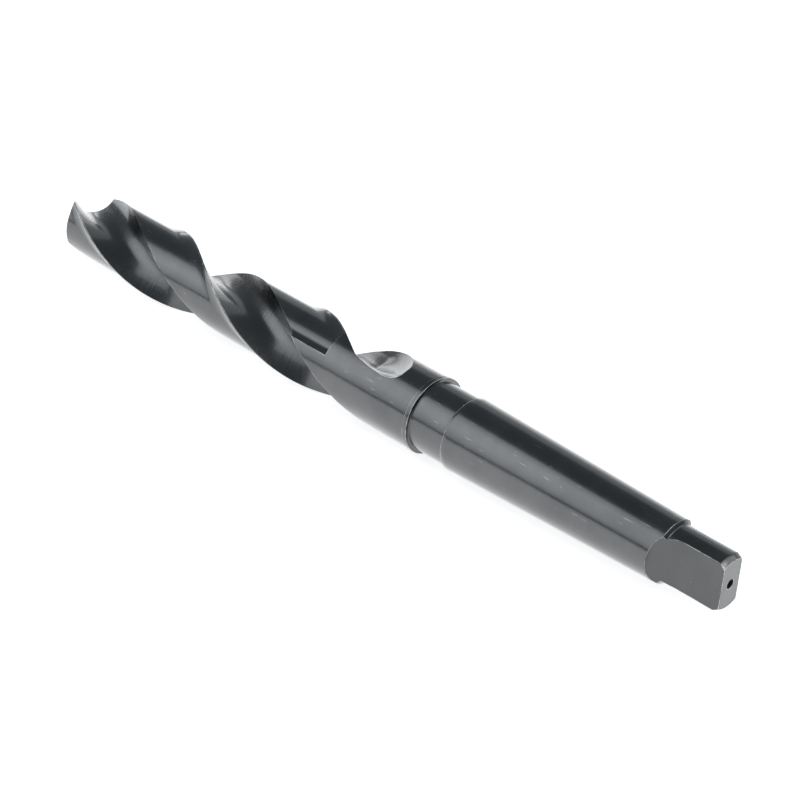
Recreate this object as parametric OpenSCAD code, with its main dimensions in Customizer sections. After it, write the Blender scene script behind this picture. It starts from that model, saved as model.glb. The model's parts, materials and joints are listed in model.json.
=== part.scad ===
// Taper shank twist drill, made from one bar: two helical flutes, a body, a neck,
// a Morse No. 3 taper and a flat tang.
// It lies along X, with the point at -X and the tang at +X. The origin is on the axis,
// in the gauge plane of the taper. The flats of the tang face +Y and -Y.
// Angles about the axis are counted from +Y towards +Z.

/* [Overall] */
// Length from the tip of the point to the end of the tang
total_len = 281; // [276:1:300]
// Length from the tip to the place where the flutes run out
flute_len = 158.3; // [150:0.1:164]
// Diameter over the margins, which is the size of the hole drilled
drill_d = 25; // [24:0.1:26]

/* [Flutes] */
// Helix angle of the flutes at the drill's diameter
helix_angle = 30; // [22:1:36]
// Angle of the cutting corner about the axis, which sets the lips against the tang
corner_turn = 126.3; // [0:0.1:180]
// Thickness of the web between the flutes at the tip
web_t = 3.8; // [3:0.1:5]
// Growth of the web's thickness per millimetre of length
web_rate = 0.016; // [0:0.001:0.024]
// Radius of the flute's round bottom
flute_r = 7.5; // [7:0.1:8]
// Angle of the flute's bottom behind the cutting edge
flute_lag = 56; // [53:0.5:60]
// Length over which the flute climbs out of the body
runout_len = 18.6; // [14:0.1:26]
// Slope at which that climb starts
runout_slope = 0.33; // [0.1:0.01:0.45]
// Direction of the climb, measured from the cutting edge
runout_dir = -73; // [-85:1:-65]

/* [Lands] */
// Width of the margin, measured round the drill
margin_w = 0.5; // [0.4:0.1:3]
// Diameter over the relieved part of the lands
relief_d = 22.3; // [21.6:0.1:23.6]
// Radius of the concave slope from the margin down to the relieved land
margin_slope_r = 8; // [4:0.5:10]
// Radius of the concave slope on the relief's other side
heel_slope_r = 4; // [3:0.5:6]
// Distance from the gauge plane back to the end of the relief
relief_end = 56.2; // [50:0.1:62]
// Width of the relief at its end, as an angle from the cutting edge
relief_end_angle = 47; // [40:1:60]

/* [Point] */
// Point angle over the lips
point_angle = 118; // [108:1:130]
// Set-back of each grinding cone's axis from the drill's axis, along the lip
cone_back = 5.4; // [4.5:0.1:6.5]
// Lead of each grinding cone's axis ahead of the lip, which gives the lip clearance
cone_ahead = 4.4; // [3.6:0.1:5.2]

/* [Body and neck] */
// Diameter of the body behind the flutes
body_d = 24.8; // [24:0.1:25]
// Diameter of the narrow rim at the body's end
rim_d = 25.25; // [25.1:0.05:25.6]
// Width of that rim
rim_w = 1.6; // [1:0.1:3]
// Diameter of the neck
neck_d = 22.8; // [21:0.1:23.4]
// Length of the neck
neck_len = 13.3; // [10:0.1:15]

/* [Taper shank] */
// Diameter of the taper at the gauge plane
gauge_d = 23.825; // [23.8:0.005:23.85]
// Growth of the taper's diameter per millimetre of length
taper_rate = 0.0502; // [0.0500:0.0001:0.0504]
// Length of the taper in front of the gauge plane
gauge_back = 5; // [4:0.1:6]
// Length from the large end of the taper to the end of the tang
shank_len = 99; // [97:0.5:101]
// Chamfer on the edge at the large end
taper_chamfer = 0.4; // [0.2:0.1:0.8]

/* [Tang] */
// Length of the tang, from the small end of the taper to its end
tang_len = 20; // [18:0.5:22]
// Diameter over the tang's round sides
tang_d = 17.8; // [17:0.1:18.5]
// Thickness of the tang over its flats
tang_t = 7.9; // [7:0.1:9]
// Length of the flats, without the radius that they run into
flat_len = 14.4; // [12:0.1:16]
// Radius left by the cutter that milled the flats
mill_r = 8; // [7:0.1:9]
// Length of the chamfer between the taper and the tang
shoulder_chamfer = 1; // [0.5:0.1:2]
// Chamfer round the tang's end, measured inwards
end_chamfer = 1; // [0.5:0.1:2]
// Chamfer round the tang's end, measured along the axis
end_chamfer_len = 1.8; // [1:0.1:3]

/* [Centre hole] */
// Mouth diameter of the centre hole in the tang's end
centre_d = 3.2; // [2.5:0.1:4]
// Diameter of its pilot drilling
pilot_d = 1.6; // [1:0.1:2]
// Depth of the pilot drilling
pilot_depth = 4; // [3:0.1:6]

/* [Hidden] */
steel = [0.2, 0.21, 0.22];
facets = 96;

// Length over which the ground margins run down to the body's diameter
margin_run = 2;

// The flute's section: its stations along the drill, the stretch of its face outside the
// cutting edge, its steps, and the far corner that keeps it closed outside the body
flute_step = 2.2;
climb_steps = 12;
lead_out = 1.2;
face_steps = 4;
arc_steps = 12;
arc_end = 245;
far_r = 22;
far_angle = -45;
climb_clearance = 0.1;

// The relief's section: how far it reaches inside and outside the ring that it takes off
// the land, its steps, how far its slopes go on past their top, as a share of their width,
// and its far angle where it runs out past the heel
relief_in = 0.6;
relief_out = 1.5;
relief_steps = 3;
slope_steps = 1;
slope_over = 0.1;
relief_open = 115;

// How far cuts reach beyond the blank
overlap = 3;

drill_r = drill_d / 2;
tang_end = shank_len - gauge_back;
tip_x = tang_end - total_len;
shoulder_x = tang_end - tang_len;
rim_end = -gauge_back - neck_len;
climb_end = tip_x + flute_len;
climb_start = climb_end - runout_len;
twist_rate = 360 * tan(helix_angle) / (PI * drill_d);
margin_angle = margin_w / drill_r * 180 / PI;
relief_inner = relief_d / 2 - relief_in;
relief_outer = drill_r + relief_out;

// The lip runs half the web's thickness ahead of the axis. Each flank of the point is part
// of a cone whose apex is moved away from the axis, and both cones pass through the tip.
cone_slope = tan(point_angle / 2);
cone_shift = norm([cone_back, cone_ahead]);
lip_end = [sqrt(drill_r * drill_r - web_t * web_t / 4), web_t / 2];
point_len = (norm(lip_end - [-cone_back, cone_ahead]) - cone_shift) / cone_slope;
corner_x = tip_x + point_len;
lip_turn = corner_turn + asin(web_t / drill_d);

function polar(r, a) = r * [cos(a), sin(a)];

// A flat point of the cross-section at x, turned about the axis by an angle
function placed(x, p, turn) =
    [x, p.x * cos(turn) - p.y * sin(turn), p.x * sin(turn) + p.y * cos(turn)];

// Angle of the cutting edge about the axis at x
function edge_turn(x) = corner_turn + twist_rate * (x - corner_x);

function half_web(x) = (web_t + web_rate * (x - tip_x)) / 2;

// How far the flute's section has to move at x before it clears the body
function full_climb(x) =
    let (d = half_web(x) + flute_r, a = runout_dir + flute_lag)
    sqrt(pow(body_d / 2 + flute_r + climb_clearance, 2) - pow(d * sin(a), 2)) - d * cos(a);

// Travel of the section in the run-out: a gentle slope that steepens to a round end
function climb(x) =
    let (s = min(1, max(0, (x - climb_start) / runout_len)), first = runout_slope * runout_len)
    first * s + (full_climb(x) - first) * (1 - sqrt(1 - s * s));

// Cross-section of the flute's cutter at x, with the cutting edge on its first axis:
// a straight face from the edge to a tangent point, the round bottom, and a far corner
function flute_section(x) =
    let (
        edge = [drill_r, 0],
        centre = polar(half_web(x) + flute_r, -flute_lag),
        gap = centre - edge,
        face = atan2(gap.y, gap.x) + 360 - asin(flute_r / norm(gap)),
        face_len = sqrt(gap * gap - flute_r * flute_r),
        start = face - 90,
        shift = polar(climb(x), runout_dir)
    )
    [for (p = concat(
        [for (i = [0 : face_steps]) edge + polar((face_len + lead_out) * i / face_steps - lead_out, face)],
        [for (i = [1 : arc_steps]) centre + polar(flute_r, start + (arc_end - start) * i / arc_steps)],
        [polar(far_r, far_angle)]
    )) p + shift];

// Stations along the drill: even steps up to the run-out, then closer ones towards its end
function stations(from, to, step) =
    let (n = ceil((to - from) / step)) [for (i = [0 : n]) from + (to - from) * i / n];
flute_stations = concat(
    stations(tip_x - overlap, climb_start, flute_step),
    [for (i = [1 : climb_steps]) climb_start + runout_len * sin(90 * i / climb_steps)]
);

// Solid through equal rings of points, each ring running anticlockwise seen from +X
module swept(rings) {
    n = len(rings[0]);
    last = len(rings) - 1;
    sides = [
        for (i = [0 : last - 1], j = [0 : n - 1])
            let (a = i * n + j, b = i * n + (j + 1) % n)
            each [[a, a + n, b + n], [a, b + n, b]]
    ];
    caps = [[for (j = [0 : n - 1]) j], [for (j = [n - 1 : -1 : 0]) last * n + j]];
    polyhedron([for (ring = rings) each ring], concat(sides, caps), convexity = 8);
}

module flute() {
    swept([for (x = flute_stations) [for (p = flute_section(x)) placed(x, p, edge_turn(x))]]);
}

// Where the relief ends on the far side of the land: past the heel at first, then along a
// line parallel to the axis, as the grinding wheel leaves the land
function relief_far(x) =
    min(relief_open, relief_end_angle + twist_rate * (-relief_end - x));

// Concave slope of radius r from the relieved land up past the margin's diameter, as points
// from its foot on. It reaches that diameter at the angle top, with its foot to the given side.
function slope(r, top, side) =
    let (
        rise = drill_r - relief_d / 2,
        width = sqrt(2 * r * rise - rise * rise)
    )
    [for (i = [0 : slope_steps])
        let (t = width * (1 + slope_over) * i / slope_steps, back = side * (width - t) / drill_r)
        polar(i == 0 ? relief_inner : relief_d / 2 + r - sqrt(r * r - t * t), top + back * 180 / PI)];

function relief_section(x) =
    let (near = margin_angle, far = relief_far(x), up = slope(heel_slope_r, far, -1))
    concat(
        slope(margin_slope_r, near, 1),
        [for (i = [0 : relief_steps]) polar(relief_outer, near + (far - near) * i / relief_steps)],
        [for (i = [slope_steps : -1 : 0]) up[i]]
    );

// What the relief takes off one land, outside the relieved diameter
module relief() {
    difference() {
        swept([
            for (x = stations(tip_x - overlap, -relief_end, flute_step))
                [for (p = relief_section(x)) placed(x, p, edge_turn(x))]
        ]);
        along_x(tip_x - 2 * overlap, total_len) circle(d = relief_d, $fn = facets);
    }
}

module along_x(from, length) {
    translate([from, 0, 0]) rotate([0, 90, 0]) linear_extrude(length) children();
}

// Turned shape before milling and grinding: radii along the axis, from the point to the tang
module blank() {
    large_r = (gauge_d + gauge_back * taper_rate) / 2;
    small_r = (gauge_d - shoulder_x * taper_rate) / 2;
    margin_end = -relief_end;
    rotate([0, 90, 0]) rotate_extrude($fn = facets) polygon([
        [0, tip_x - overlap / 2],
        [drill_r, tip_x - overlap / 2],
        [drill_r, margin_end],
        [body_d / 2, margin_end + margin_run],
        [body_d / 2, rim_end - rim_w],
        [rim_d / 2, rim_end - rim_w],
        [rim_d / 2, rim_end],
        [neck_d / 2, rim_end],
        [neck_d / 2, -gauge_back],
        [large_r - taper_chamfer, -gauge_back],
        [large_r, taper_chamfer - gauge_back],
        [small_r, shoulder_x],
        [tang_d / 2, shoulder_x + shoulder_chamfer],
        [tang_d / 2, tang_end - end_chamfer_len],
        [tang_d / 2 - end_chamfer, tang_end],
        [0, tang_end]
    ]);
}

// One grinding cone, moved off the drill's axis for the lip at the given angle
module grinding_cone(turn) {
    height = cone_shift / cone_slope + point_len + 2 * overlap;
    shift = placed(0, [-cone_back, -cone_ahead], turn);
    translate([tip_x - cone_shift / cone_slope, shift.y, shift.z])
        rotate([0, 90, 0])
            cylinder(h = height, r1 = 0, r2 = height * cone_slope, $fn = facets);
}

// What grinding takes off the front to leave the point
module point_cut() {
    difference() {
        along_x(tip_x - overlap, point_len + 2 * overlap) circle(drill_r + overlap, $fn = facets);
        intersection() {
            grinding_cone(lip_turn);
            grinding_cone(lip_turn + 180);
        }
    }
}

// What the milling cutter takes off one side of the tang: its own radius, then the flat
module tang_cut() {
    run = tang_end - flat_len;
    translate([0, 0, -drill_r]) linear_extrude(drill_d) {
        translate([run, tang_t / 2 + mill_r]) circle(mill_r, $fn = facets);
        translate([run, tang_t / 2]) square([flat_len + overlap, 2 * mill_r]);
    }
}

module centre_hole() {
    cone_len = (centre_d - pilot_d) / 2 / tan(30);
    translate([tang_end, 0, 0]) rotate([0, -90, 0]) {
        cylinder(h = cone_len, d1 = centre_d, d2 = pilot_d, $fn = facets);
        translate([0, 0, -overlap]) cylinder(h = pilot_depth + overlap, d = pilot_d, $fn = facets);
    }
}

module twist_drill() {
    color(steel)
        difference() {
            blank();
            for (side = [0, 180])
                rotate([side, 0, 0]) {
                    flute();
                    relief();
                }
            for (side = [0, 1])
                mirror([0, side, 0]) tang_cut();
            point_cut();
            centre_hole();
        }
}

twist_drill();
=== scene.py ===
import cmath
import json
import math

import bmesh
import bpy
from mathutils import Matrix, Vector
from mathutils.geometry import delaunay_2d_cdt
from mathutils.kdtree import KDTree


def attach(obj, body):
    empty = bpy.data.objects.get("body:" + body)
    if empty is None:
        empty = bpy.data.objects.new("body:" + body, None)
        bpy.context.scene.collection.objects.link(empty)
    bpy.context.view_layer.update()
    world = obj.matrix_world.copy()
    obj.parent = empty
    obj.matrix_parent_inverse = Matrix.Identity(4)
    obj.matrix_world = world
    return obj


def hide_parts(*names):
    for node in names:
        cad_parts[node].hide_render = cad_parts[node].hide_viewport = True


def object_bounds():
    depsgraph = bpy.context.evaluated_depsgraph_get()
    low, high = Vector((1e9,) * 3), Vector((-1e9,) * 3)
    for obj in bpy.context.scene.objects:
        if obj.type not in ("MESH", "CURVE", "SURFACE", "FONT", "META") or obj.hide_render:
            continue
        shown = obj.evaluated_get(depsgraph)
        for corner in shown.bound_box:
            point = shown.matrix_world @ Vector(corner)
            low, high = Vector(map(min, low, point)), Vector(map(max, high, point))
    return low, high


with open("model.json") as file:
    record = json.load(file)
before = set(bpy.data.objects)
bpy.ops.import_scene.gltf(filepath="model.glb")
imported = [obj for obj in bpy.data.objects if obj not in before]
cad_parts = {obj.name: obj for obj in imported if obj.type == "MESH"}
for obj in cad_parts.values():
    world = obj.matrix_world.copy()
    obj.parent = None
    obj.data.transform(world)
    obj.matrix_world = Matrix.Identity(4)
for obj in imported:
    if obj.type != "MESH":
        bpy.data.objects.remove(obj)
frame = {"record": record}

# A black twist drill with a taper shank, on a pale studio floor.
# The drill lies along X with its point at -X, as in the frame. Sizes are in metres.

bl_info = {
    "name": "Taper shank twist drill",
    "version": (1, 0, 0),
    "blender": (4, 5, 0),
    "location": "3D View > Sidebar > Drill",
    "description": "Builds a twist drill with a taper shank, and a small studio round it",
    "category": "Object",
}

NODE = "twist_drill"
BODY = "root"
SLOT = frame["record"]["materials"][0]["slot"]
MM = 0.001
LOW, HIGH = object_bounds()


def length(name, description, default):
    """A size in metres that a user would change."""
    return bpy.props.FloatProperty(
        name=name, description=description, default=default, unit="LENGTH", precision=5)


def angle(name, description, degrees):
    """An angle that a user would change, given here in degrees."""
    return bpy.props.FloatProperty(
        name=name, description=description, default=math.radians(degrees), subtype="ANGLE")


def number(name, description, default, high=10.0):
    """A plain number of 0 or more that a user would change."""
    return bpy.props.FloatProperty(
        name=name, description=description, default=default, min=0.0, max=high)


def tone(name, description, default):
    """A linear colour that a user would change."""
    return bpy.props.FloatVectorProperty(
        name=name, description=description, default=default,
        subtype="COLOR", size=3, min=0.0, max=1.0)


class CuttingEndSizes(bpy.types.PropertyGroup):
    """Sizes of the point, the flutes and the lands."""
    tip: length("Tip", "Place of the point's tip along the axis", LOW[0])
    flutes: length("Flute length", "Length from the tip to the end of the run-out", 0.1583)
    diameter: length("Diameter", "Diameter over the margins", 0.025)
    helix: angle("Helix angle", "Angle of the flutes at the diameter", 30)
    corner_turn: angle("Corner turn", "Angle of the cutting corner about the axis", 126.3)
    web: length("Web", "Thickness of the web at the tip", 0.0038)
    web_rate: number("Web growth", "Growth of the web's thickness over the length", 0.016)
    flute_radius: length("Flute radius", "Radius of the flute's round bottom", 0.0075)
    flute_lag: angle("Flute lag", "Angle of the flute's bottom behind the cutting edge", 56)
    runout: length("Run-out", "Length over which the flute climbs out of the body", 0.0186)
    runout_slope: number("Run-out slope", "Slope at which the climb starts", 0.33)
    runout_turn: angle("Run-out direction", "Direction of the climb from the cutting edge", -73)
    margin: length("Margin", "Width of the margin round the drill", 0.0005)
    margin_slope: length("Margin slope", "Radius of the slope from the margin to the relief", 0.008)
    heel_slope: length("Heel slope", "Radius of the slope on the relief's other side", 0.004)
    relief: length("Relief diameter", "Diameter over the relieved lands", 0.0223)
    relief_end: length("Relief end", "Place where the relief ends along the axis", -0.0562)
    relief_turn: angle("Relief width", "Width of the relief at its end, from the edge", 47)
    point: angle("Point angle", "Angle of the point over the lips", 118)
    cone_back: length("Cone set-back", "Set-back of each grinding cone along the lip", 0.0054)
    cone_ahead: length("Cone lead", "Lead of each grinding cone ahead of the lip", 0.0044)


class ShankSizes(bpy.types.PropertyGroup):
    """Sizes of the body, the neck, the taper and the tang."""
    body: length("Body diameter", "Diameter of the body behind the flutes", 0.0248)
    rim: length("Rim diameter", "Diameter of the rim at the body's end", 0.02525)
    rim_start: length("Rim start", "Place of the rim's front along the axis", -0.0199)
    rim_end: length("Rim end", "Place of the rim's back along the axis", -0.0183)
    neck: length("Neck diameter", "Diameter of the neck", 0.0228)
    taper_start: length("Taper start", "Place of the taper's large end", -0.005)
    gauge: length("Gauge diameter", "Diameter of the taper at the gauge plane", 0.023825)
    taper_rate: number("Taper", "Growth of the diameter over the length", 0.0502)
    shoulder: length("Shoulder", "Place of the taper's small end", 0.074)
    tang_diameter: length("Tang diameter", "Diameter over the tang's round sides", 0.0178)
    tang_thickness: length("Tang thickness", "Thickness over the tang's flats", 0.0079)
    tang_end: length("Tang end", "Place of the tang's end along the axis", HIGH[0])
    flat_start: length("Flat start", "Place where the flats begin", 0.0796)
    mill_radius: length("Mill radius", "Radius left by the cutter that milled the flats", 0.008)
    taper_chamfer: length("Taper chamfer", "Chamfer on the edge at the taper's large end", 0.0004)
    shoulder_chamfer: length("Shoulder chamfer", "Length of the chamfer behind the taper", 0.001)
    end_chamfer: length("End chamfer", "Chamfer round the tang's end, inwards", 0.001)
    end_chamfer_length: length("End chamfer length", "The same along the axis", 0.0018)
    centre: length("Centre hole", "Mouth diameter of the centre hole", 0.0032)
    pilot: length("Pilot", "Diameter of the centre hole's pilot drilling", 0.0016)
    pilot_depth: length("Pilot depth", "Depth of the pilot drilling", 0.004)


class FinishColours(bpy.types.PropertyGroup):
    """Colours of the steel."""
    oxide: tone("Oxide", "Black oxide in the light", (0.110, 0.114, 0.117))
    oxide_dark: tone("Dark oxide", "Thicker patches of oxide", (0.090, 0.094, 0.098))
    milled: tone("Milled oxide", "Oxide on the milled flats of the tang", (0.11, 0.11, 0.112))
    # Painted shade: the centre hole's near-black colour stands in for the shade inside its recess
    hole: tone("Centre hole", "Inside of the centre hole", (0.02, 0.02, 0.02))
    # Bright steel for the outer edges: partly oxide rubbed away, partly a painted highlight for the
    # light their tiny bevels would catch
    bare_steel_and_highlight: tone("Bare steel", "Steel where the oxide is worn off", (0.62, 0.62, 0.61))


class StudioSettings(bpy.types.PropertyGroup):
    """The floor, the lights and the camera."""
    floor: tone("Floor", "Colour of the floor", (0.9, 0.9, 0.9))
    room: tone("Room light", "Light of the dark room round the lights", (0.152, 0.172, 0.186))
    glow: number("Floor glow", "Light that the floor gives off, as on a light table", 0.76)
    key: number("Key light", "Brightness of the large soft box in front, where 1 is white", 0.95)
    key_colour: tone("Key colour", "Tint of that soft box", (0.975, 0.98, 1.0))
    core: number("Key light's core", "Brightness that its middle gains in each of two steps", 0.3)
    side: number("Side light", "Brightness of the long soft box over the shank's end", 1.0)
    end_box: number("End light", "Brightness of the smaller soft box over the tang", 1.6)
    low_card: number("Low card", "Brightness of the white card low behind the drill", 0.4)
    high_card: number("High card", "Brightness of the taller card behind that", 0.27)
    end_card: number("End card", "Brightness of the card beyond the point", 1.5)
    lens: number("Lens", "Focal length for a 36 mm sensor, in millimetres", 102.97, high=300.0)


def sizes(name):
    """A property group of the scene by its name."""
    return getattr(bpy.context.scene, name)


def crowded(start, end, count, crowd=0.8):
    """count + 1 values from start to end, closer together near both ends."""
    steps = [k / count for k in range(count + 1)]
    return [start + (end - start) * (t - crowd * math.sin(math.tau * t) / math.tau) for t in steps]


def even(start, end, count):
    """count + 1 even values from start to end."""
    return crowded(start, end, count, 0)


# The drill's cross-section is worked out as points in a plane, written as complex numbers.
# The cutting edge lies on the real axis, and the section turns with the helix afterwards.
# One half of it is made, from the heel of a flute over its bottom to the cutting edge, and
# on over the margin, the relief and the rest of the land to the next heel.
FLUTE_STEPS = 44
MARGIN_STEPS = 4
SLOPE_STEPS = 12
RELIEF_STEPS = 14
REST_STEPS = 10
LAND_STEPS = MARGIN_STEPS + 2 * SLOPE_STEPS + RELIEF_STEPS + REST_STEPS
FLAT_STEPS = 16
SIDE_STEPS = (LAND_STEPS - FLAT_STEPS) // 2
BODY_STEPS = 8
POINT_STEPS = 10
FLUTED_STEPS = 94
WEDGE_STEPS = 24
LAST_STEPS = 10
RIDGE_STEPS = 12
RUNOUT_STEPS = 30
NECK_STEPS = 12
TAPER_STEPS = 24
MILL_STEPS = 18
TANG_STEPS = 12
END_STEPS = 8
CHISEL_SPREAD = 5  # points of the flute over which the shift to the chisel edge fades
# Rounds of the searches for the heel and the ground point, and of those that halve a gap
HEEL_ROUNDS = 12
FRONT_ROUNDS = 14
HALVINGS = 40

BEHIND_TIP = 2 * MM  # where the flute's section is whole
BEHIND_CORNER = 3 * MM  # where the plain rings start
BODY_FADE = 2 * MM  # over which the drill narrows to the body, behind the relief
FLANK_STEP = 0.6 * MM  # between the points inside a flank of the ground point
SOFT = 0.06 * MM  # softness of the turned edges
MERGE_GAP = 0.003 * MM
EDGE_STEP = 0.2 * MM  # between the spots along an edge from which the wear is measured
WEAR_AND_HIGHLIGHT_REACH = 5.0  # millimetres, the most that is measured
WEAR_AND_HIGHLIGHT_ANGLE = math.radians(24)  # outer edges sharper than this are painted bright, as wear and as a painted highlight
SHARP_ANGLE = math.radians(28)  # edges sharper than this are shaded as edges


class CuttingEnd:
    """The rules for the fluted end: one half of its section, which repeats at 180 degrees."""

    def __init__(self, cut, body_diameter):
        self.cut = cut
        self.r = cut.diameter / 2
        self.body_r = body_diameter / 2
        self.relief_r = cut.relief / 2
        self.climb_end = cut.tip + cut.flutes
        self.climb_start = self.climb_end - cut.runout
        self.rate = math.tan(cut.helix) / self.r
        self.margin_turn = cut.margin / self.r
        self.cone_slope = math.tan(cut.point / 2)
        self.cone_shift = math.hypot(cut.cone_back, cut.cone_ahead)
        shift = complex(-cut.cone_back, -cut.cone_ahead)
        lip_end = complex(math.sqrt(self.r ** 2 - cut.web ** 2 / 4), -cut.web / 2)
        self.corner_x = cut.tip + (abs(lip_end - shift) - self.cone_shift) / self.cone_slope
        self.cone = shift * cmath.rect(1, cut.corner_turn + math.asin(cut.web / 2 / self.r))
        land = self.half(cut.relief_end, True)[0][FLUTE_STEPS:]
        angles = [cmath.phase(p) for p in land]
        self.shares = [(a - angles[0]) / (angles[-1] - angles[0]) for a in angles]

    def turn(self, x):
        """Angle of the cutting edge about the axis at x. It stays the same past the run-out."""
        return self.cut.corner_turn + self.rate * (min(x, self.climb_end) - self.corner_x)

    def radius(self, x):
        """Radius over the margins, and over the body behind the relief."""
        fade = min(1, max(0, (x - self.cut.relief_end) / BODY_FADE))
        return self.r + (self.body_r - self.r) * fade

    def half_web(self, x):
        """Half the web's thickness at x."""
        return (self.cut.web + self.cut.web_rate * (x - self.cut.tip)) / 2

    def climb(self, x):
        """How far the flute's section has moved out of the body at x."""
        cut = self.cut
        s = min(1, max(0, (x - self.climb_start) / cut.runout))
        depth = self.half_web(x) + cut.flute_radius
        lean = cut.runout_turn + cut.flute_lag
        reach = self.body_r + cut.flute_radius
        full = math.sqrt(reach ** 2 - (depth * math.sin(lean)) ** 2) - depth * math.cos(lean)
        first = cut.runout_slope * cut.runout
        return first * s + (full - first) * (1 - math.sqrt(1 - s * s))

    def flute(self, x):
        """The flute's section at x: centre of its bottom, tangent point and face direction."""
        r = self.cut.flute_radius
        centre = cmath.rect(self.half_web(x) + r, -self.cut.flute_lag)
        gap = centre - self.r
        face = cmath.phase(gap) - math.asin(r / abs(gap))
        tangent = self.r + cmath.rect(math.sqrt(abs(gap) ** 2 - r * r), face)
        shift = cmath.rect(self.climb(x), self.cut.runout_turn)
        return centre + shift, tangent + shift, face

    def on_flute(self, x, q):
        """Point of the flute at the length q from the tangent point, on the face where q < 0."""
        centre, tangent, face = self.flute(x)
        if q < 0:
            return tangent + cmath.rect(q, face)
        r = self.cut.flute_radius
        return centre + cmath.rect(r, face - math.pi / 2 + q / r)

    def flute_ends(self, x, edge_r, heel_r):
        """Lengths q at which the flute meets edge_r by the cutting edge and heel_r at the heel."""
        centre, tangent, face = self.flute(x)
        r = self.cut.flute_radius

        def arc(radius, side):
            cosine = (abs(centre) ** 2 + r * r - radius ** 2) / (2 * abs(centre) * r)
            half = math.acos(max(-1, min(1, cosine)))
            turned = cmath.phase(-centre) + side * half - face + math.pi / 2
            return r * math.remainder(turned, math.tau)

        edge = arc(edge_r, -1)
        if edge < 0:
            along = (tangent * cmath.rect(1, -face)).real
            edge = -along - math.sqrt(along ** 2 - abs(tangent) ** 2 + edge_r ** 2)
        return edge, arc(heel_r, 1)

    def next_heel(self, x, edge_r, heel_r):
        """Angle from the cutting edge to the heel at the land's far side."""
        heel = self.on_flute(x, self.flute_ends(x, edge_r, heel_r)[1])
        return cmath.phase(heel) % math.tau - math.pi

    def relief_far(self, x):
        """Angle from the cutting edge at which the relief ends on the far side of the land."""
        return self.cut.relief_turn + self.rate * (self.cut.relief_end - x)

    def slope(self, r, part=1.0):
        """Concave slope of radius r up from the relief: (width left to the top, height) pairs."""
        rise = self.r - self.relief_r
        width = math.sqrt(2 * r * rise - rise * rise)
        steps = even(0, width * part, SLOPE_STEPS)
        return [(width - t, r - math.sqrt(r * r - t * t)) for t in steps]

    def half(self, x, relieved, nudge=None):
        """Half of the section at x, and the length q along the flute of its first points."""
        radius = self.radius(x)
        far = self.relief_far(x)
        up = self.slope(self.cut.heel_slope)
        width = up[0][0] / self.r
        top = self.relief_r if relieved else radius
        heel = self.next_heel(x, radius, top)
        part = 1.0
        if relieved:
            for _ in range(HEEL_ROUNDS):
                part = min(1, max(0, (heel - far) / width + 1))
                up = self.slope(self.cut.heel_slope, part)
                top = self.relief_r + up[-1][1]
                heel = self.next_heel(x, radius, top)
        edge_q, heel_q = self.flute_ends(x, radius, top)
        along = crowded(heel_q, edge_q, FLUTE_STEPS)
        if nudge:
            along = [q + extra for q, extra in zip(along, nudge)]
        points = [self.on_flute(x, q) for q in along]
        start = cmath.phase(points[-1])
        if not relieved:
            points += [cmath.rect(radius, start + (heel - start) * share)
                       for share in self.shares[1:]]
            return points, along
        near = start + self.margin_turn
        down = self.slope(self.cut.margin_slope)
        foot = near + down[0][0] / self.r
        far = min(far, heel + width * (1 - part))
        points += [cmath.rect(radius, a) for a in even(start, near, MARGIN_STEPS)[1:]]
        points += [cmath.rect(self.relief_r + h, near + left / self.r)
                   for left, h in reversed(down[:-1])]
        low = crowded(foot, far - width, RELIEF_STEPS)
        points += [cmath.rect(self.relief_r, a) for a in low[1:]]
        points += [cmath.rect(self.relief_r + h, far - left / self.r) for left, h in up[1:]]
        rest = crowded(max(far - up[-1][0] / self.r, 0), heel, REST_STEPS)
        points += [cmath.rect(top, a) for a in rest[1:]]
        return points, along

    def ground_x(self, p):
        """Place along the axis of the ground point over the spot p, which has its true angle."""
        off = max(abs(p - self.cone), abs(p + self.cone))
        return self.cut.tip + (off - self.cone_shift) / self.cone_slope

    def front(self, pick):
        """Where the line of the section that pick follows meets the ground point."""
        x = self.cut.tip
        for _ in range(FRONT_ROUNDS):
            x = self.ground_x(pick(x) * cmath.rect(1, self.turn(x)))
        return x

    def chisel(self):
        """The flute's column next to an end of the chisel edge, and the shift it needs."""
        def side(q):
            x = self.front(lambda s: self.on_flute(s, q))
            spot = self.on_flute(x, q) * cmath.rect(1, self.turn(x))
            return (spot * self.cone.conjugate()).real

        along = self.half(self.cut.tip + BEHIND_TIP, True)[1]
        column = next(j for j in range(4, FLUTE_STEPS) if side(along[j]) * side(along[j + 1]) < 0)
        low, high = along[column], along[column + 1]
        for _ in range(HALVINGS):
            middle = (low + high) / 2
            low, high = (low, middle) if side(low) * side(middle) < 0 else (middle, high)
        return column, low

    def stations(self):
        """Places of the rings from behind the point to the relief's end."""
        start = self.corner_x + BEHIND_CORNER
        # The relief narrows to a wedge here, so its rings stand closer together
        wedge = self.cut.relief_end - 20 * MM
        behind = wedge + 10 * MM
        return (even(start, wedge, FLUTED_STEPS)[1:] + even(wedge, behind, WEDGE_STEPS)[1:]
                + even(behind, self.cut.relief_end, LAST_STEPS)[1:])


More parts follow.
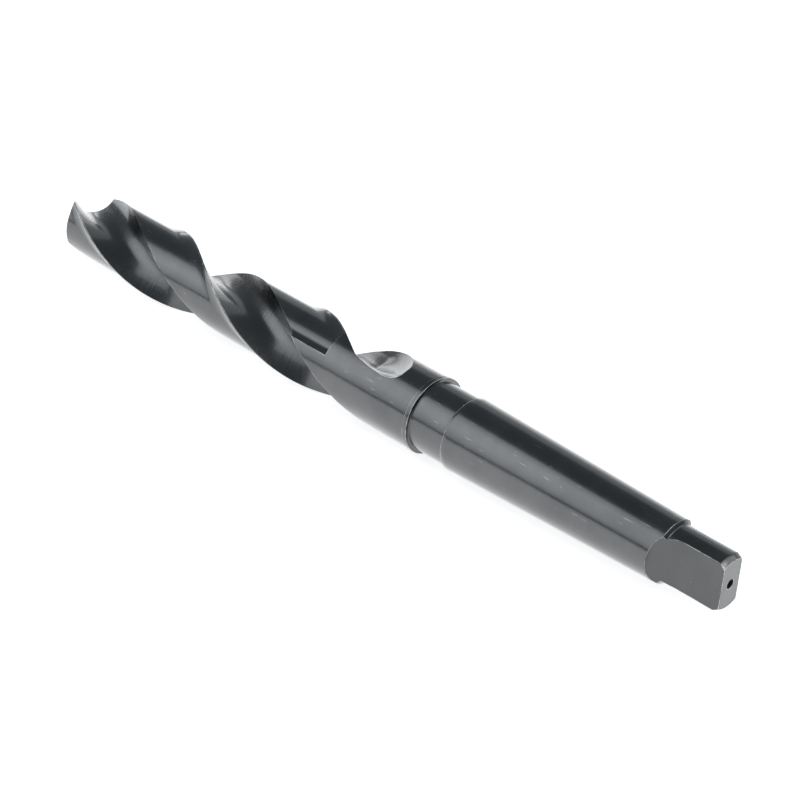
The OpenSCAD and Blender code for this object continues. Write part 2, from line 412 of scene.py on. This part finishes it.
class Shell:
    """A mesh in the making: points with the finish of their place, and faces."""

    def __init__(self):
        self.points = []
        self.faces = []
        self.finish = {"across": [], "flute": [], "milled": [], "ground": [], "centre": []}

    def ring(self, points, **finish):
        """Adds a ring of (x, plane point) pairs and returns the indices of its points."""
        first = len(self.points)
        for x, p in points:
            self.points.append((x, p.real, p.imag))
        for name, values in self.finish.items():
            given = finish.get(name, 0)
            values += given if isinstance(given, list) else [given] * len(points)
        return list(range(first, len(self.points)))

    def join(self, rings):
        """Faces between rings that follow each other along the axis."""
        for near, ahead in zip(rings, rings[1:]):
            for j in range(len(near) - 1):
                self.faces.append((near[j], near[j + 1], ahead[j + 1], ahead[j]))

    def mesh(self, name):
        """The mesh, with the finish values as attributes of its points."""
        mesh = bpy.data.meshes.new(name)
        mesh.from_pydata(self.points, [], self.faces)
        for key, values in self.finish.items():
            mesh.attributes.new(key, "FLOAT", "POINT").data.foreach_set("value", values)
        mesh.update()
        return mesh


def flute_finish(along):
    """Finish values of a half section: lengths along the flute, and 1 on its points."""
    rest = [0.0] * LAND_STEPS
    return {"across": list(along) + rest, "flute": [1.0] * (FLUTE_STEPS + 1) + rest}


def add_point(shell, end):
    """Rings from the ground point back to the plain fluted part, and the point's own faces."""
    column, exact = end.chisel()
    at_tip = end.half(end.cut.tip + BEHIND_TIP, True)[1]
    if abs(at_tip[column + 1] - exact) < abs(at_tip[column] - exact):
        column += 1
    back = end.corner_x + BEHIND_CORNER
    rings = []
    edge = []
    for step in range(POINT_STEPS + 1):
        share = step / POINT_STEPS
        points = []
        lengths = []
        for j in range(FLUTE_STEPS + LAND_STEPS + 1):
            def shifted(x):
                plain = end.half(x, True)[1]
                gap = (exact - plain[column]) * (1 - share)
                return [gap * max(0, 1 - abs(k - column) / CHISEL_SPREAD)
                        for k in range(FLUTE_STEPS + 1)]
            if step == 0:
                x = end.front(lambda s: end.half(s, True, shifted(s))[0][j])
                edge.append(x)
            else:
                x = edge[j] + (back - edge[j]) * share
            half, along = end.half(x, True, shifted(x))
            points.append((x, half[j]))
            lengths.append(along[min(j, FLUTE_STEPS)])
        rings.append((points, lengths[:FLUTE_STEPS + 1]))
    indices = [shell.ring(points, **flute_finish(along)) for points, along in rings]
    shell.join(indices)

    # One flank of the point: the half of the section on one side of the chisel edge
    outline = [p * cmath.rect(1, end.turn(x)) for x, p in rings[0][0]]
    border = outline[column:] + [-p for p in outline[1:column + 1]]
    border += [border[-1] + (border[0] - border[-1]) * k / RIDGE_STEPS
               for k in range(1, RIDGE_STEPS)]
    reach = int(end.r / FLANK_STEP) + 1
    inner = [complex(i, j) * FLANK_STEP for i in range(-reach, reach) for j in range(-reach, reach)]
    inner = [p for p in inner if clear(p, border, FLANK_STEP / 3) and inside(p, border)]
    spots = [Vector((p.real, p.imag)) for p in border + inner]
    loop = list(range(len(border)))
    found, _, faces, _, _, _ = delaunay_2d_cdt(spots, [], [loop], 1, 1e-9)
    flank = []
    for spot in found:
        p = complex(spot.x, spot.y)
        x = end.ground_x(p)
        flank.append((x, p * cmath.rect(1, -end.turn(x))))
    ids = shell.ring(flank, ground=1)
    shell.faces += [tuple(ids[k] for k in reversed(face)) for face in faces]
    return indices[-1]


def inside(p, border):
    """Whether p lies inside the closed border."""
    turns = 0.0
    for a, b in zip(border, border[1:] + border[:1]):
        turns += cmath.phase((b - p) / (a - p))
    return abs(turns) > math.pi


def clear(p, border, gap):
    """Whether p keeps the gap to every point of the border."""
    return all(abs(p - q) > gap for q in border)


def add_flutes(shell, end, first):
    """The fluted part from behind the point, over the relief's end and the run-out.

    Returns the angles of the last ring's points about the axis."""
    rings = [first]
    places = [(x, True) for x in end.stations()]
    places += [(end.cut.relief_end, False)]
    places += [(x, False) for x in even(end.cut.relief_end, end.climb_start, LAST_STEPS)[1:]]
    places += [(end.climb_start + end.cut.runout * math.sin(math.pi / 2 * k / RUNOUT_STEPS), False)
               for k in range(1, RUNOUT_STEPS)]
    for x, relieved in places:
        half, along = end.half(x, relieved)
        rings.append(shell.ring([(x, p) for p in half], **flute_finish(along)))
    # The run-out closes with a low wall up to the body's circle
    half = [cmath.rect(end.body_r, cmath.phase(p)) for p in half]
    rings.append(shell.ring([(end.climb_end, p) for p in half]))
    shell.join(rings)
    turned = [cmath.phase(p * cmath.rect(1, end.turn(end.climb_end))) for p in half]
    edge = turned[FLUTE_STEPS]
    return ([edge - (edge - a) % math.tau for a in turned[:FLUTE_STEPS]]
            + [edge + (a - edge) % math.tau for a in turned[FLUTE_STEPS:]])


def add_shank(shell, end, shank, start):
    """The turned body, rim, neck, taper and tang, with the tang's flats and its centre hole."""
    unturn = cmath.rect(1, -end.turn(end.climb_end))
    soft = SOFT
    body, rim, neck = shank.body / 2, shank.rim / 2, shank.neck / 2
    large = (shank.gauge - shank.taper_rate * shank.taper_start) / 2
    small = (shank.gauge - shank.taper_rate * shank.shoulder) / 2
    tang = shank.tang_diameter / 2
    collar = shank.taper_chamfer
    profile = [(x, body) for x in even(end.climb_end, shank.rim_start, BODY_STEPS)]
    profile += [
        (shank.rim_start, rim - soft), (shank.rim_start + soft, rim),
        ((shank.rim_start + shank.rim_end) / 2, rim),
        (shank.rim_end - soft, rim), (shank.rim_end, rim - soft),
        (shank.rim_end, neck + 3 * soft), (shank.rim_end + soft, neck + soft),
        (shank.rim_end + 3 * soft, neck)]
    along = even(shank.rim_end + 3 * soft, shank.taper_start, NECK_STEPS)
    profile += [(x, neck) for x in along[1:]]
    profile += [
        (shank.taper_start, large - collar - soft / 2),
        (shank.taper_start + soft / 2, large - collar + soft / 2),
        (shank.taper_start + collar - soft, large - soft),
        (shank.taper_start + collar + soft, large - soft / 8)]
    rise = (large - small) / (shank.shoulder - shank.taper_start - collar)

    def taper(x):
        return large - rise * (x - shank.taper_start - collar)

    def height(x):
        """Distance of the milled surface from the axis at x."""
        back = max(0, shank.flat_start - x)
        drop = math.sqrt(shank.mill_radius ** 2 - back ** 2)
        return shank.tang_thickness / 2 + shank.mill_radius - drop

    low, high = shank.flat_start - shank.mill_radius, shank.flat_start
    for _ in range(HALVINGS):
        middle = (low + high) / 2
        low, high = (middle, high) if height(middle) > taper(middle) else (low, middle)
    mill_start = high
    along = crowded(shank.taper_start + collar + soft, mill_start, TAPER_STEPS, 0.5)
    profile += [(x, taper(x)) for x in along[1:]]
    outer = [(mill_start, taper(mill_start)), (shank.shoulder - soft, taper(shank.shoulder - soft)),
             (shank.shoulder + soft, small - soft),
             (shank.shoulder + shank.shoulder_chamfer - soft, tang + soft),
             (shank.shoulder + shank.shoulder_chamfer + soft, tang),
             (shank.tang_end - shank.end_chamfer_length - soft, tang),
             (shank.tang_end - shank.end_chamfer_length + soft, tang - soft / 2),
             (shank.tang_end - soft, tang - shank.end_chamfer + soft / 2),
             (shank.tang_end, tang - shank.end_chamfer - soft / 2)]
    places = {x for x, _ in outer[1:]}
    places |= {mill_start + (shank.flat_start - mill_start) * (k / MILL_STEPS) ** 2
               for k in range(1, MILL_STEPS + 1)}
    places |= set(even(shank.flat_start, shank.tang_end - 2 * MM, TANG_STEPS)[1:])

    def between(x):
        for (a, ra), (b, rb) in zip(outer, outer[1:]):
            if a <= x <= b:
                return ra + (rb - ra) * (x - a) / (b - a)

    profile += [(x, between(x)) for x in sorted(places)]

    widest = math.pi * FLAT_STEPS / LAND_STEPS / 2
    rings = []
    for place, (x, r) in enumerate(profile):
        side = 0.0
        if x > mill_start:
            flat = min(height(x), r)
            side = math.acos(flat / r)
        fade = max(0.0, min(1.0, (mill_start - x) / (mill_start - shank.rim_start)))
        spread = max(side, widest * fade)
        angles = even(math.pi / 2, math.pi - spread, SIDE_STEPS)
        angles += even(math.pi - spread, math.pi + spread, FLAT_STEPS)[1:]
        angles += even(math.pi + spread, math.pi * 3 / 2, SIDE_STEPS)[1:]
        points = [cmath.rect(r, a) for a in angles]
        milled = [0.0] * len(points)
        if side > 0:
            reach = r * math.sin(side)
            for k in range(FLAT_STEPS + 1):
                points[SIDE_STEPS + k] = complex(-flat, reach * (1 - 2 * k / FLAT_STEPS))
                milled[SIDE_STEPS + k] = 1.0
        elif x <= shank.rim_start and r == body:
            # The columns of points that end with the flute close up on the way to the rim
            blend = (x - end.climb_end) / (shank.rim_start - end.climb_end)
            offset = math.tau * round((math.pi / 2 - start[FLUTE_STEPS]) / math.tau)
            goals = [angles[0]] * FLUTE_STEPS + angles
            points = [cmath.rect(r, (a + offset) * (1 - blend) + b * blend)
                      for a, b in zip(start, goals)]
            milled = 0.0
        rings.append(shell.ring([(x, p * unturn) for p in points], milled=milled))
        if place == BODY_STEPS:
            shell.join(rings)
            rings = [rings[-1][FLUTE_STEPS:]]

    # The end face, the centre hole's cone of 60 degrees and its pilot
    outline = points
    mouth, pilot = shank.centre / 2, shank.pilot / 2
    cone = (mouth - pilot) / math.tan(math.radians(30))
    for k in range(1, END_STEPS + 1):
        share = (k / END_STEPS) ** 0.8
        points = [p * (1 - share) + cmath.rect(mouth, cmath.phase(p) % math.tau) * share
                  for p in outline]
        rings.append(shell.ring([(shank.tang_end, p * unturn) for p in points]))
    for x, r in ((shank.tang_end - cone, pilot), (shank.tang_end - shank.pilot_depth, pilot),
                 (shank.tang_end - shank.pilot_depth, 0.0)):
        points = [cmath.rect(r, cmath.phase(p) % math.tau) for p in outline]
        # These rings carry centre=1, which the material paints near black as the hole's shade
        rings.append(shell.ring([(x, p * unturn) for p in points], centre=1))
    shell.join(rings)


class Socket:
    """A node's output, with operators that add the Math nodes of an expression."""

    def __init__(self, nodes, output):
        self.nodes = nodes
        self.output = output

    def __add__(self, other):
        return self.nodes.maths("ADD", self, other)

    def __sub__(self, other):
        return self.nodes.maths("SUBTRACT", self, other)

    def __mul__(self, other):
        return self.nodes.maths("MULTIPLY", self, other)

    def __radd__(self, other):
        return self.nodes.maths("ADD", other, self)

    def __rsub__(self, other):
        return self.nodes.maths("SUBTRACT", other, self)

    def __rmul__(self, other):
        return self.nodes.maths("MULTIPLY", other, self)


class Nodes:
    """Adds nodes to a tree of a material or of Geometry Nodes."""

    def __init__(self, tree):
        self.tree = tree

    def add(self, kind, settings=None, values=None, out=0):
        """A node of a kind: its settings first, then the values or links of its sockets."""
        node = self.tree.nodes.new(kind)
        for name, value in (settings or {}).items():
            setattr(node, name, value)
        for name, value in (values or {}).items():
            socket = node.inputs[name]
            if isinstance(value, Socket):
                self.tree.links.new(value.output, socket)
            else:
                socket.default_value = value
        return Socket(self, node.outputs[out]) if len(node.outputs) else node

    def maths(self, operation, a, b, clamp=False):
        return self.add("ShaderNodeMath", {"operation": operation, "use_clamp": clamp},
                        {0: a, 1: b})

    def clamp(self, value):
        """The value held between 0 and 1."""
        return self.maths("ADD", value, 0.0, clamp=True)

    def mix(self, share, a, b):
        """A colour between a and b."""
        colours = [(*c, 1.0) if isinstance(c, (tuple, list)) else c for c in (a, b)]
        return self.add("ShaderNodeMix", {"data_type": "RGBA"},
                        {0: share, 6: colours[0], 7: colours[1]}, out=2)

    def attribute(self, name):
        return self.add("ShaderNodeAttribute", {"attribute_name": name}, out="Fac")

    def noise(self, vector, scale, detail, roughness):
        return self.add("ShaderNodeTexNoise", {"noise_dimensions": "3D"}, {
            "Vector": vector, "Scale": scale, "Detail": detail, "Roughness": roughness})

    def smooth(self, value, low, high):
        """0 below low and 1 above high, with a soft step between."""
        return self.add("ShaderNodeMapRange", {"interpolation_type": "SMOOTHSTEP"},
                        {"Value": value, "From Min": low, "From Max": high})


def black_oxide(colours):
    """Black oxide steel: satin, with tool marks, lighter along its outer edges as wear and as a
    painted highlight, and with the centre hole painted near black as shade.
    """
    material = bpy.data.materials.new(SLOT)
    material.use_nodes = True
    tree = material.node_tree
    tree.nodes.clear()
    n = Nodes(tree)
    place = n.add("ShaderNodeTexCoord", out="Object")

    def stretched(scale):
        return n.add("ShaderNodeMapping", {"vector_type": "POINT"},
                     {"Vector": place, "Scale": scale})

    across = n.attribute("across")
    flute = n.clamp(n.attribute("flute"))
    milled = n.clamp(n.attribute("milled"))
    ground = n.clamp(n.attribute("ground"))
    # Mask of the centre hole, used below for its painted shade as well as its roughness
    centre = n.smooth(n.attribute("centre"), 0.0, 0.15)
    edge = n.attribute("edge_gap")
    turned = n.clamp(1.0 - flute - milled - ground)

    split = n.add("ShaderNodeSeparateXYZ", values={"Vector": place}, out="X")
    run = n.add("ShaderNodeCombineXYZ", values={"X": across * 150.0, "Y": split * 1100.0, "Z": 0.0})

    # Tool marks: rings on turned faces, marks across the flutes, strokes on milled faces.
    # Scales of noise are per metre.
    rings = n.noise(stretched((9000.0, 90.0, 90.0)), 1.0, 3.0, 0.6)
    streaks = n.noise(run, 1.0, 3.0, 0.6)
    strokes = n.noise(stretched((500.0, 500.0, 7000.0)), 1.0, 2.0, 0.6)
    marks = rings * turned + streaks * flute + strokes * (milled + ground)
    clouds = n.noise(place, 90.0, 4.0, 0.6)
    grain = n.noise(place, 1500.0, 4.0, 0.7)
    specks = n.smooth(n.noise(place, 900.0, 2.0, 0.6), 0.70, 0.78)

    # Wear and painted highlight: patchy along the outer edges, which lie edge millimetres away,
    # with a few scratches. The bright edges are partly oxide rubbed away and partly a painted
    # highlight for the light their tiny bevels would catch
    patchy = n.noise(place, 350.0, 4.0, 0.65)
    wear_and_highlight = n.smooth(0.12 - edge + (patchy - 0.5) * 0.5, 0.0, 0.12)
    scratches = n.noise(stretched((160.0, 1500.0, 1500.0)), 1.0, 1.0, 0.5)
    scratches = n.smooth(scratches, 0.72, 0.78) * turned
    wear_and_highlight = n.clamp(wear_and_highlight * 0.85 + specks * 0.2 + scratches * 0.2)

    oxide = n.mix(n.smooth(clouds, 0.35, 0.65), tuple(colours.oxide_dark), tuple(colours.oxide))
    oxide = n.mix(milled * 0.5, oxide, tuple(colours.milled))
    # Painted shade: the centre hole is mixed to near black for the shade inside its recess
    oxide = n.mix(centre, oxide, tuple(colours.hole))
    # Wear and painted highlight: the outer edges are mixed towards bright steel
    colour = n.mix(wear_and_highlight * (1.0 - centre), oxide, tuple(colours.bare_steel_and_highlight))
    rough = (0.20 + 0.08 * clouds + 0.10 * (marks - 0.5) + 0.05 * (grain - 0.5)
             + flute * 0.04 + milled * 0.12)
    rough = n.clamp(rough + wear_and_highlight * 0.15 + centre * 0.3)

    depth = marks * (0.12 + 3.0 * flute)
    fine = n.add("ShaderNodeBump", values={"Strength": 1.0, "Distance": 0.00002, "Height": depth})
    relief = n.add("ShaderNodeBump", values={
        "Strength": 0.4, "Distance": 0.00003, "Height": grain, "Normal": fine})
    shader = n.add("ShaderNodeBsdfPrincipled", values={
        "Base Color": colour, "Metallic": 1.0, "Roughness": rough, "Normal": relief,
        "Coat Weight": n.clamp(1.0 - milled * 0.6 - wear_and_highlight - centre),
        "Coat Roughness": 0.13, "Coat IOR": 1.5})
    n.add("ShaderNodeOutputMaterial", values={"Surface": shader})
    return material


def twist_tree():
    """Geometry Nodes that turn half a drill round the axis, join both halves and twist them."""
    tree = bpy.data.node_groups.new("Twisted flutes", "GeometryNodeTree")
    face = tree.interface
    face.new_socket("Half", in_out="INPUT", socket_type="NodeSocketGeometry")
    for name in ("Edge angle", "Turn per metre", "Edge place", "Twist end", "Merge distance"):
        face.new_socket(name, in_out="INPUT", socket_type="NodeSocketFloat")
    face.new_socket("Steel", in_out="INPUT", socket_type="NodeSocketMaterial")
    face.new_socket("Drill", in_out="OUTPUT", socket_type="NodeSocketGeometry")
    n = Nodes(tree)
    entry = tree.nodes.new("NodeGroupInput")
    given = {output.name: Socket(n, output) for output in entry.outputs if output.name}
    other = n.add("GeometryNodeTransform", values={
        "Geometry": given["Half"], "Rotation": (math.pi, 0.0, 0.0)})
    both = tree.nodes.new("GeometryNodeJoinGeometry")
    tree.links.new(given["Half"].output, both.inputs[0])
    tree.links.new(other.output, both.inputs[0])
    whole = n.add("GeometryNodeMergeByDistance", values={
        "Geometry": Socket(n, both.outputs[0]), "Distance": given["Merge distance"]})
    position = n.add("GeometryNodeInputPosition")
    x = n.add("ShaderNodeSeparateXYZ", values={"Vector": position}, out="X")
    turn = given["Edge angle"] + given["Turn per metre"] * (
        n.maths("MINIMUM", x, given["Twist end"]) - given["Edge place"])
    twisted = n.add("ShaderNodeVectorRotate", {"rotation_type": "X_AXIS"},
                    {"Vector": position, "Angle": turn})
    moved = n.add("GeometryNodeSetPosition", values={"Geometry": whole, "Position": twisted})
    smooth = n.add("GeometryNodeSetShadeSmooth", values={"Geometry": moved, "Shade Smooth": True})
    solid = n.add("GeometryNodeRealizeInstances", values={"Geometry": smooth})
    steel = n.add("GeometryNodeSetMaterial", values={"Geometry": solid, "Material": given["Steel"]})
    leave = tree.nodes.new("NodeGroupOutput")
    tree.links.new(steel.output, leave.inputs[0])
    return tree


def close_mesh(mesh):
    """Points the faces outwards, marks the sharp edges, and measures the way to the nearest one."""
    work = bmesh.new()
    work.from_mesh(mesh)
    bmesh.ops.dissolve_degenerate(work, edges=work.edges, dist=1e-7)
    bmesh.ops.recalc_face_normals(work, faces=work.faces)
    work.normal_update()
    open_edges = [e for e in work.edges if len(e.link_faces) != 2]
    if open_edges:
        spots = sorted(tuple(round(c * 1000, 2) for c in e.verts[0].co) for e in open_edges)
        raise RuntimeError(
            f"the drill's mesh has {len(open_edges)} open edges, such as {spots[:3]}")
    sharp = [e for e in work.edges if e.is_convex and e.calc_face_angle(0) > WEAR_AND_HIGHLIGHT_ANGLE]
    samples = []
    for e in sharp:
        a, b = (v.co for v in e.verts)
        count = max(1, int((b - a).length / EDGE_STEP))
        samples += [a.lerp(b, k / count) for k in range(count + 1)]
    tree = KDTree(len(samples))
    for k, spot in enumerate(samples):
        tree.insert(spot, k)
    tree.balance()
    gap = work.verts.layers.float.new("edge_gap")
    for v in work.verts:
        v[gap] = min(WEAR_AND_HIGHLIGHT_REACH, tree.find(v.co)[2] / MM)
    work.to_mesh(mesh)
    work.free()
    mesh.set_sharp_from_angle(angle=SHARP_ANGLE)
    mesh.update()


class DRILL_OT_tool(bpy.types.Operator):
    """Builds the drill: half of it as rings, then both halves joined and twisted"""
    bl_idname = "drill.tool"
    bl_label = "Twist drill"

    def execute(self, context):
        cut, shank = sizes("cutting_end"), sizes("shank")
        end = CuttingEnd(cut, shank.body)
        shell = Shell()
        last = add_point(shell, end)
        start = add_flutes(shell, end, last)
        add_shank(shell, end, shank, start)
        half = bpy.data.objects.new("half_drill", shell.mesh("half_drill"))
        context.scene.collection.objects.link(half)
        tree = twist_tree()
        twist = half.modifiers.new("Twist", "NODES")
        twist.node_group = tree
        named = {item.name: item.identifier for item in tree.interface.items_tree
                 if item.in_out == "INPUT"}
        steel = black_oxide(sizes("finish"))
        for name, value in (("Edge angle", cut.corner_turn), ("Turn per metre", end.rate),
                            ("Edge place", end.corner_x), ("Twist end", end.climb_end),
                            ("Merge distance", MERGE_GAP), ("Steel", steel)):
            twist[named[name]] = value
        half.update_tag()
        graph = context.evaluated_depsgraph_get()
        graph.update()
        mesh = bpy.data.meshes.new_from_object(half.evaluated_get(graph), depsgraph=graph)
        half.modifiers.remove(twist)
        bpy.data.objects.remove(half)
        close_mesh(mesh)
        mesh.name = "fluted_drill"
        drill = bpy.data.objects.new("fluted_drill", mesh)
        context.scene.collection.objects.link(drill)
        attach(drill, BODY)
        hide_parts(NODE)
        return {"FINISHED"}


def matt(name, colour, glow):
    """A plain matt sheet with a slight mottle, which glows as on a light table."""
    material = bpy.data.materials.new(name)
    material.use_nodes = True
    n = Nodes(material.node_tree)
    material.node_tree.nodes.clear()
    place = n.add("ShaderNodeTexCoord", out="Object")
    mottle = n.noise(place, 30.0, 3.0, 0.5)
    darker, lighter = (tuple(min(1.0, c * k) for c in colour) for k in (0.985, 1.005))
    shade = n.mix(mottle, darker, lighter)
    shader = n.add("ShaderNodeBsdfPrincipled", values={
        "Base Color": shade, "Roughness": 0.8,
        "Emission Color": (1.0, 1.0, 1.0, 1.0), "Emission Strength": glow})
    n.add("ShaderNodeOutputMaterial", values={"Surface": shader})
    return material


def panel(name, centre, facing, size, brightness, roll=0.0, colour=(1.0, 1.0, 1.0)):
    """A soft box or lit card at the centre, facing a spot. It looks white at a brightness of 1."""
    light = bpy.data.lights.new(name, "AREA")
    light.shape = "RECTANGLE"
    light.size, light.size_y = size
    light.energy = math.pi * size[0] * size[1] * brightness
    light.color = colour
    lamp = bpy.data.objects.new(name, light)
    aim = (Vector(facing) - Vector(centre)).to_track_quat("-Z", "Y").to_matrix().to_4x4()
    turn = Matrix.Rotation(math.radians(roll), 4, "Z")
    lamp.matrix_world = Matrix.Translation(centre) @ aim @ turn
    bpy.context.scene.collection.objects.link(lamp)


class DRILL_OT_studio(bpy.types.Operator):
    """Lays the pale floor, sets the soft lights and points the camera"""
    bl_idname = "drill.studio"
    bl_label = "Studio"

    def execute(self, context):
        studio = sizes("studio")
        scene = context.scene
        mesh = bpy.data.meshes.new("floor")
        left, right, front, back = -3.0, 2.4, -1.6, 3.2
        level = LOW[2] - 0.0001
        corners = [(left, front, level), (right, front, level),
                   (right, back, level), (left, back, level)]
        mesh.from_pydata(corners, [], [(0, 1, 2, 3)])
        floor = bpy.data.objects.new("floor", mesh)
        scene.collection.objects.link(floor)
        floor.data.materials.append(matt("pale_floor", tuple(studio.floor), studio.glow))

        world = bpy.data.worlds.new("dim_room")
        world.use_nodes = True
        world.node_tree.nodes["Background"].inputs["Color"].default_value = (*studio.room, 1.0)
        world.node_tree.nodes["Background"].inputs["Strength"].default_value = 1.0
        scene.world = world
        # The large soft box is brightest left of its middle: two smaller panels hang in front of it
        box, aim = Vector((-0.735, -0.83, 0.92)), Vector((-0.165, 0.07, 0.52))
        leftwards = Vector((-0.845, 0.535, 0.0))
        for name, size, shift, brightness in (("front_box", (1.3, 1.7), 0.0, studio.key),
                                              ("front_middle", (0.95, 1.25), 0.07, studio.core),
                                              ("front_core", (0.6, 0.75), 0.1, studio.core)):
            move = leftwards * shift + (aim - box) * 0.2 * shift - Vector((0.0, 0.0, 0.6 * shift))
            panel(name, box + move, aim + move, size, brightness, 9.0, studio.key_colour)
        panel("side_box", (0.55, 0.50, 0.92), (-0.04, 0.0, 0.0), (1.5, 0.5), studio.side, -39.0)
        panel("end_box", (0.70, -0.10, 0.90), (0.08, 0.0, 0.0), (0.75, 0.6), studio.end_box)
        panel("low_card", (-0.15, 1.2, 0.15), (-0.15, 0.0, 0.15), (1.5, 0.3), studio.low_card)
        panel("high_card", (-0.30, 1.25, 0.5), (-0.20, 0.0, 0.5), (2.0, 1.0), studio.high_card)
        panel("end_card", (-1.15, 0.47, 0.15), (-0.05, 0.0, 0.08), (0.7, 0.15), studio.end_card)

        camera = bpy.data.cameras.new("camera")
        camera.lens = studio.lens
        camera.sensor_width = 36.0
        camera.clip_start = 0.01
        camera.clip_end = 20.0
        eye = bpy.data.objects.new("camera", camera)
        # The camera's axes and place come from a fit to the photo's outline
        right_way = Vector((0.71624742, 0.69467258, 0.06663327))
        down_way = Vector((0.40804343, -0.33943786, -0.84753604))
        forward = Vector((-0.56611853, 0.63423477, -0.52657808))
        turn = Matrix((right_way, -down_way, -forward)).transposed().to_4x4()
        eye.matrix_world = Matrix.Translation((0.36462, -0.44515, 0.36835)) @ turn
        scene.collection.objects.link(eye)
        scene.camera = eye
        scene.view_settings.view_transform = "Standard"
        return {"FINISHED"}


class DRILL_PT_sidebar(bpy.types.Panel):
    """Lists the sizes, colours and lights, with the operators that use them"""
    bl_idname = "DRILL_PT_sidebar"
    bl_label = "Twist drill"
    bl_space_type = "VIEW_3D"
    bl_region_type = "UI"
    bl_category = "Drill"

    def draw(self, context):
        for name, step in (("cutting_end", None), ("shank", None), ("finish", DRILL_OT_tool),
                           ("studio", DRILL_OT_studio)):
            column = self.layout.column()
            for key in sizes(name).bl_rna.properties.keys():
                if key not in ("rna_type", "name"):
                    column.prop(sizes(name), key)
            if step:
                column.operator(step.bl_idname)


GROUPS = {"cutting_end": CuttingEndSizes, "shank": ShankSizes,
          "finish": FinishColours, "studio": StudioSettings}
CLASSES = (*GROUPS.values(), DRILL_OT_tool, DRILL_OT_studio, DRILL_PT_sidebar)


def register():
    for item in CLASSES:
        bpy.utils.register_class(item)
    for name, group in GROUPS.items():
        setattr(bpy.types.Scene, name, bpy.props.PointerProperty(type=group))


def unregister():
    for name in GROUPS:
        delattr(bpy.types.Scene, name)
    for item in reversed(CLASSES):
        bpy.utils.unregister_class(item)


def main():
    register()
    bpy.ops.drill.tool()
    bpy.ops.drill.studio()


if __name__ == "__main__":
    main()
